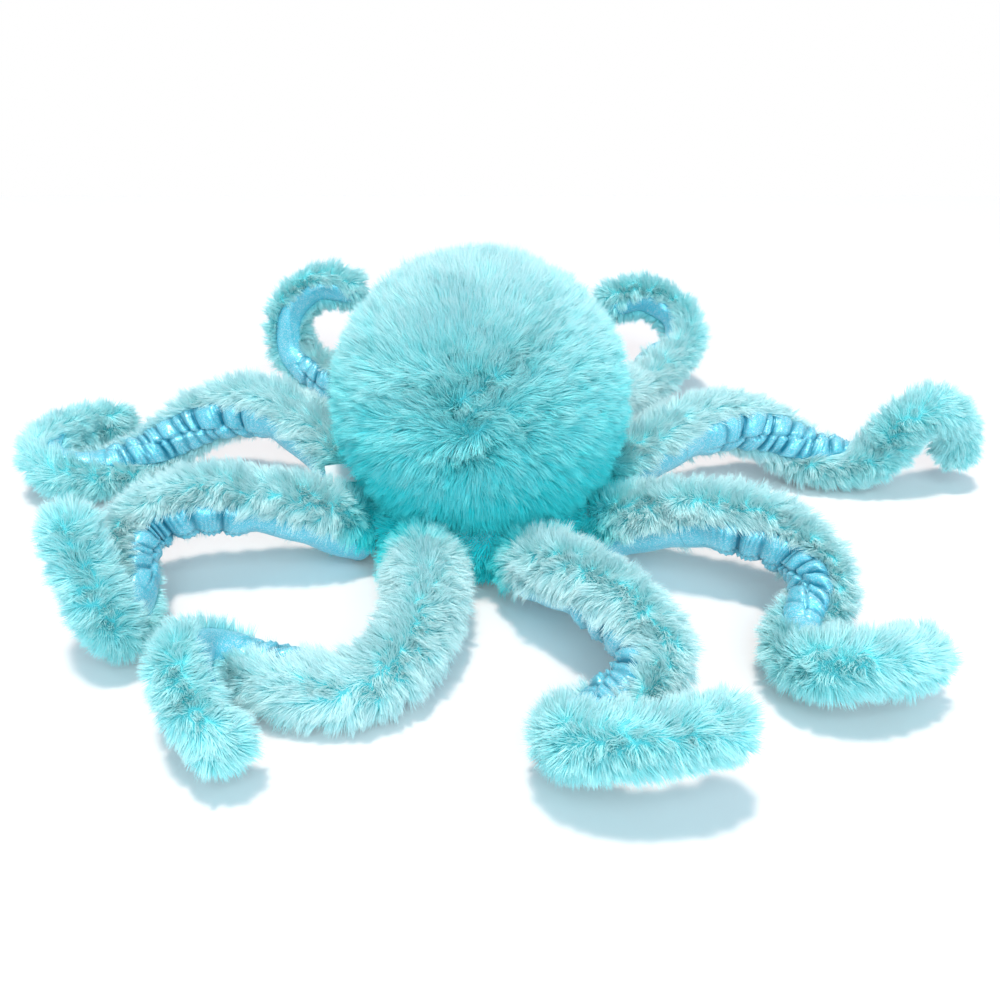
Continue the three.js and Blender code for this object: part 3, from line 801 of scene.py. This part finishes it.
for index, (name, route) in enumerate(arm_routes.items()):
    root, tip = f"{name}_arm_root", f"{name}_arm_tip"
    elbow = route["elbow"]
    zones = {
        "shoulder": (INSIDE_BODY, SHOULDER_SHARE),
        "elbow": (SHOULDER_SHARE, elbow + ELBOW_ROOM),
        "end": (elbow + ELBOW_ROOM, 1.0),
    }
    elbow_place = Vector(at_share(route["places"], np.array([elbow]))[0])
    elbow_way = Vector(at_share(route["ahead"], np.array([elbow]))[0])

    spots = even_pairs(ARM_FIBRES, index + 3)
    shares = np.linspace(PILE_START, 1, 800)
    weight = np.cumsum((tube_radius(shares) + 0.004) * (math.pi - satin_half(shares, name)))
    share = np.interp(spots[:, 0], weight / weight[-1], shares)
    half = math.pi + 0.05 - satin_half(share, name) * np.clip((0.985 - share) / 0.03, 0.15, 1)
    angle = (2 * spots[:, 1] - 1) * half
    roots, facing = on_arm(route, share, angle)
    ahead = at_share(route["ahead"], share)
    beside, _ = on_arm(route, share, angle + 0.05 * np.sign(angle))
    away = normalised(beside - roots)
    edge = (np.abs(angle) / half)[:, None]
    comb = ahead * 0.44 + away * (0.08 + 0.55 * edge**2) - np.array([0, 0, 0.18])
    length = ARM_PILE_ROOT - ARM_PILE_CUT * share
    # Painted light and shade: paler where the pile faces up, darker in the crevice where the arm
    # leaves the body, and darker towards the tip.
    shoulder_shade = np.clip(1 - share / 0.09, 0, 1)
    near_tip = np.clip((share - 0.45) / 0.25, 0, 1)
    shade_and_tone = 0.98 + 0.1 * facing[:, 2] - shoulder_shade - 0.28 * near_tip

    for zone, (first, last) in zones.items():
        chosen = (share >= first) & (share < last + (zone == "end"))
        pile = grow_pile(
            f"{name}_{zone}_pile",
            roots=roots[chosen],
            facing=facing[chosen],
            comb=comb[chosen],
            length=length[chosen],
            girth=PILE_GIRTH,
            lock=ARM_LOCK,
            shade_and_tone=shade_and_tone[chosen],
            fleck=0.03,
            seed=40 + index * 3 + list(zones).index(zone),
        )

        core_form = bmesh.new()
        bmesh.ops.create_cone(
            core_form, cap_ends=True, segments=24, radius1=1, radius2=1, depth=1
        )
        bmesh.ops.translate(core_form, verts=core_form.verts, vec=(0, 0, 0.5))
        long_edges = [
            edge
            for edge in core_form.edges
            if abs(edge.verts[0].co.z - edge.verts[1].co.z) > 0.5
        ]
        bmesh.ops.subdivide_edges(
            core_form, edges=long_edges, cuts=int((last - first) * CORE_STEPS)
        )

        def lay_core(numbers):
            turned = np.arctan2(numbers[:, 1], numbers[:, 0])
            along_share = first + (last - first) * numbers[:, 2]
            pile_half = math.pi - satin_half(along_share, name)
            swell = np.clip((pile_half - np.abs(turned)) / 0.35, 0, 1) ** 0.6
            return on_arm(route, along_share, turned, 0.0018 * swell - SATIN_GAP)[0]

        lay_on_arm(core_form, lay_core)
        bmesh.ops.recalc_face_normals(core_form, faces=core_form.faces)
        core = from_bmesh(f"{name}_{zone}_core", core_form, backing_paint.material)

        satin_form = bmesh.new()
        bmesh.ops.create_grid(
            satin_form,
            x_segments=int((last - first) * route["length"] / SATIN_STEP),
            y_segments=SATIN_ACROSS,
            size=0.5,
        )
        inner = bmesh.ops.extrude_face_region(satin_form, geom=satin_form.faces[:])["geom"]
        inner = [part for part in inner if isinstance(part, bmesh.types.BMVert)]
        bmesh.ops.translate(satin_form, verts=inner, vec=(0, 0, -SATIN_CLOTH))
        # The painted shade of the creases is kept on the vertices.
        shade_layer = satin_form.verts.layers.float.new("crease")

        def lay_satin(numbers):
            along_share = first + (last - first) * (numbers[:, 0] + 0.5)
            across = 2 * numbers[:, 1]
            stand, crease_shade = satin_swell(
                along_share * route["length"], along_share, across, route["length"], index + 1
            )
            # Each vertex keeps its painted crease shade.
            for vert, depth in zip(satin_form.verts, crease_shade):
                vert[shade_layer] = depth
            ending = np.clip((1 - along_share) / 0.05, 0, 1) ** 0.5
            round_arm = math.pi + across * satin_half(along_share, name)
            stand = stand * ending + SATIN_GAP + numbers[:, 2]
            return on_arm(route, along_share, round_arm, stand)[0]

        lay_on_arm(satin_form, lay_satin)
        bmesh.ops.recalc_face_normals(satin_form, faces=satin_form.faces)
        satin = from_bmesh(f"{name}_{zone}_satin", satin_form, satin_paint.material)

        for piece, slot in ((pile, "fur"), (satin, "satin"), (core, "stuffing")):
            if zone == "shoulder":
                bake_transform(piece)
            elif zone == "elbow":
                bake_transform(piece)
                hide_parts(f"{root}_{slot}")
            else:
                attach(piece, tip)
                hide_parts(f"{tip}_{slot}")


# Elastic
# The bands that gather the satin run under its middle line, inside the arms, and don't show.
# They are the solids' own, in a white weave.
elastic_paint = Paint("woven elastic", roughness=0.7)
weave = elastic_paint.noise(1500, 1)
elastic_colour = elastic_paint.between(weave, (0.62, 0.66, 0.68), (0.80, 0.83, 0.85))
elastic_paint.feed("Base Color", elastic_colour)
for name in arm_routes:
    elastic_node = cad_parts[f"{name}_arm_elastic"]
    elastic_node.data.materials.clear()
    elastic_node.data.materials.append(elastic_paint.material)


# Label
# A blank loop of white woven tape, sewn into the seam on the body's left. It stands out of the
# pile with its flat side turned up and to the front.
LABEL_REACH = 0.026
LABEL_WIDTH = 0.015
LABEL_THICKNESS = 0.0009
LABEL_LIFT = 0.0015

label_paint = Paint("label tape", roughness=0.75)
tape = label_paint.noise(1800, 1)
tape_colour = label_paint.between(tape, (0.86, 0.90, 0.91), (0.94, 0.96, 0.97))
label_paint.feed("Base Color", tape_colour)
label_form = bmesh.new()
bmesh.ops.create_cube(label_form, size=1)
label_size = (LABEL_REACH, LABEL_WIDTH, LABEL_THICKNESS)
bmesh.ops.scale(label_form, verts=label_form.verts, vec=label_size)
bmesh.ops.translate(label_form, verts=label_form.verts, vec=(-LABEL_REACH / 2, 0, 0))
bmesh.ops.bevel(label_form, geom=label_form.edges, offset=0.0003, segments=2, affect="EDGES")
tilt = Matrix.Rotation(math.radians(14), 3, "Z") @ Matrix.Rotation(math.radians(38), 3, "X")
bmesh.ops.rotate(label_form, verts=label_form.verts, cent=(0, 0, 0), matrix=tilt)
_, label_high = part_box("label")
label_seat = (label_high[0], 0, label_high[2] + LABEL_LIFT)
bmesh.ops.translate(label_form, verts=label_form.verts, vec=label_seat)
label_loop = from_bmesh("label_loop", label_form, label_paint.material, smooth=False)
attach(label_loop, "body")
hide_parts("label")
